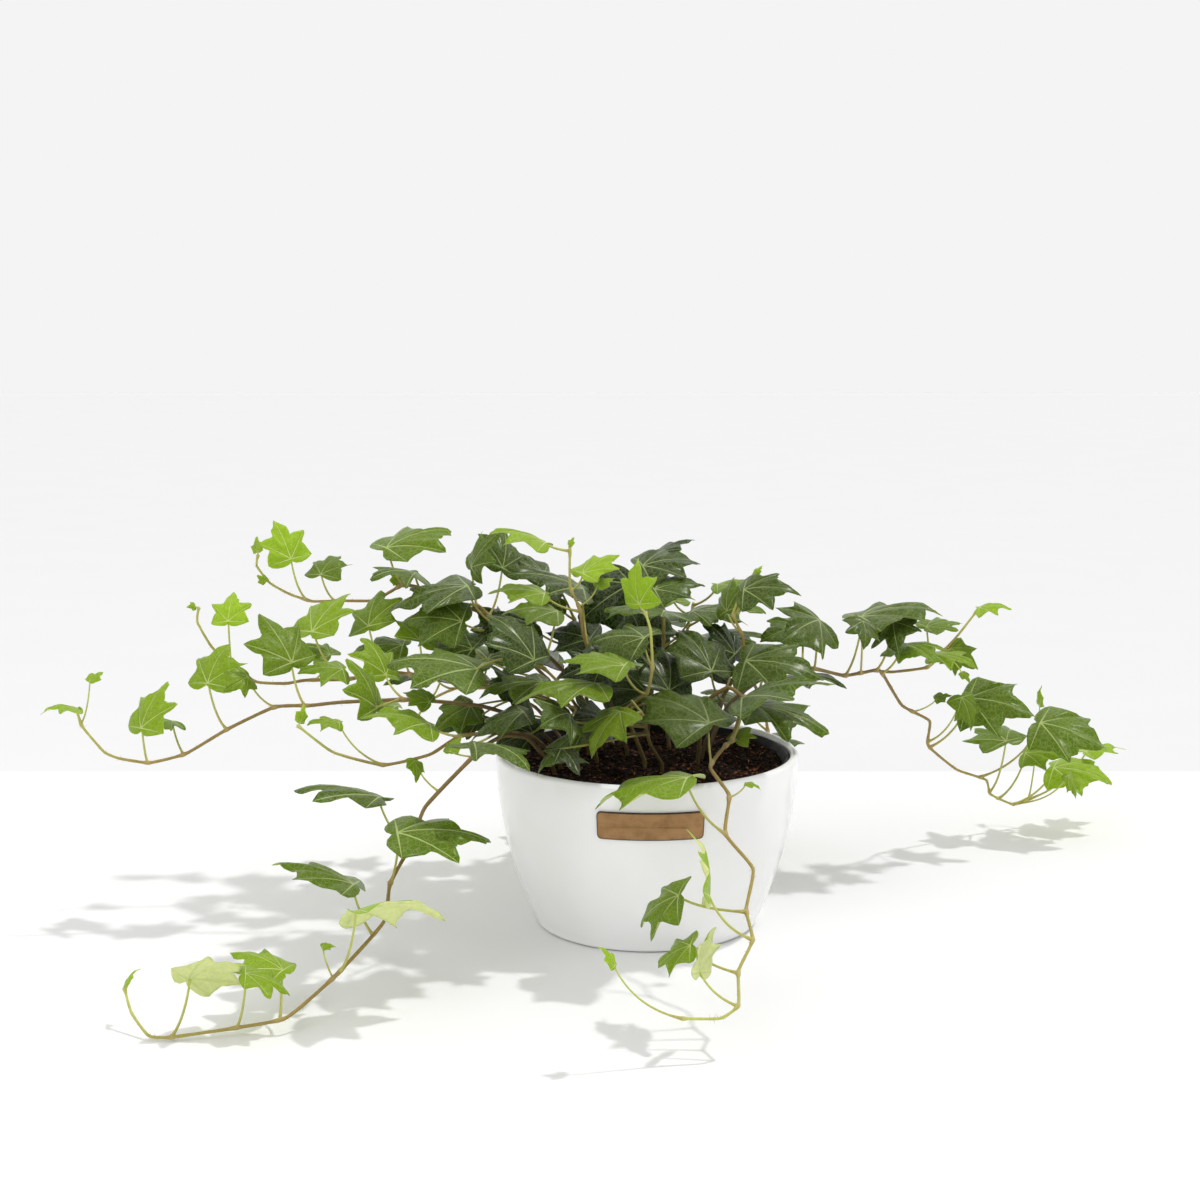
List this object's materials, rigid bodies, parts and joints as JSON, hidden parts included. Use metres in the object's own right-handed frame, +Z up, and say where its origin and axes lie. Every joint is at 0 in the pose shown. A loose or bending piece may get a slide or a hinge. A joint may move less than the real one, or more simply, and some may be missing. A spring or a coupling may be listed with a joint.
{
  "type": "potted ivy",
  "caption": "Trailing ivy with lobed leaves on long stems, in a black nursery pot inside a white bowl-shaped planter with a small blank metal plate.",
  "frame": {"origin": "centre of the planter's flat base, where it meets the table", "axes": "+Z up, +X to the right and -Y towards the side of the planter that carries the plate"},
  "size_m": [0.6966, 0.4702, 0.2301],
  "materials": {
    "glaze": "glossy white glaze",
    "badge_metal": "aged, satin, bare of any lettering",
    "black_plastic": "satin black nursery pot",
    "potting_soil": "matt crumbly peat",
    "ivy": "waxy leaf, green from lime to dark"
  },
  "bodies": {
    "root": {"planter": "glaze", "badge": "badge_metal", "liner_pot": "black_plastic", "soil": "potting_soil", "vine_far_left": "ivy", "vine_mid_left": "ivy", "vine_upper_left": "ivy", "vine_left_crown": "ivy", "vine_low_left": "ivy", "vine_front_left": "ivy", "vine_front_right": "ivy", "vine_upright": "ivy", "vine_far_right": "ivy", "crown_lime_shoot": "ivy", "crown_tall_shoot": "ivy", "crown_front_left": "ivy", "crown_front": "ivy", "crown_back_right": "ivy", "crown_back_left": "ivy", "vine_back_left": "ivy", "vine_back": "ivy", "vine_back_right": "ivy", "crown_rear": "ivy", "crown_rear_left": "ivy"}
  },
  "joints": []
}
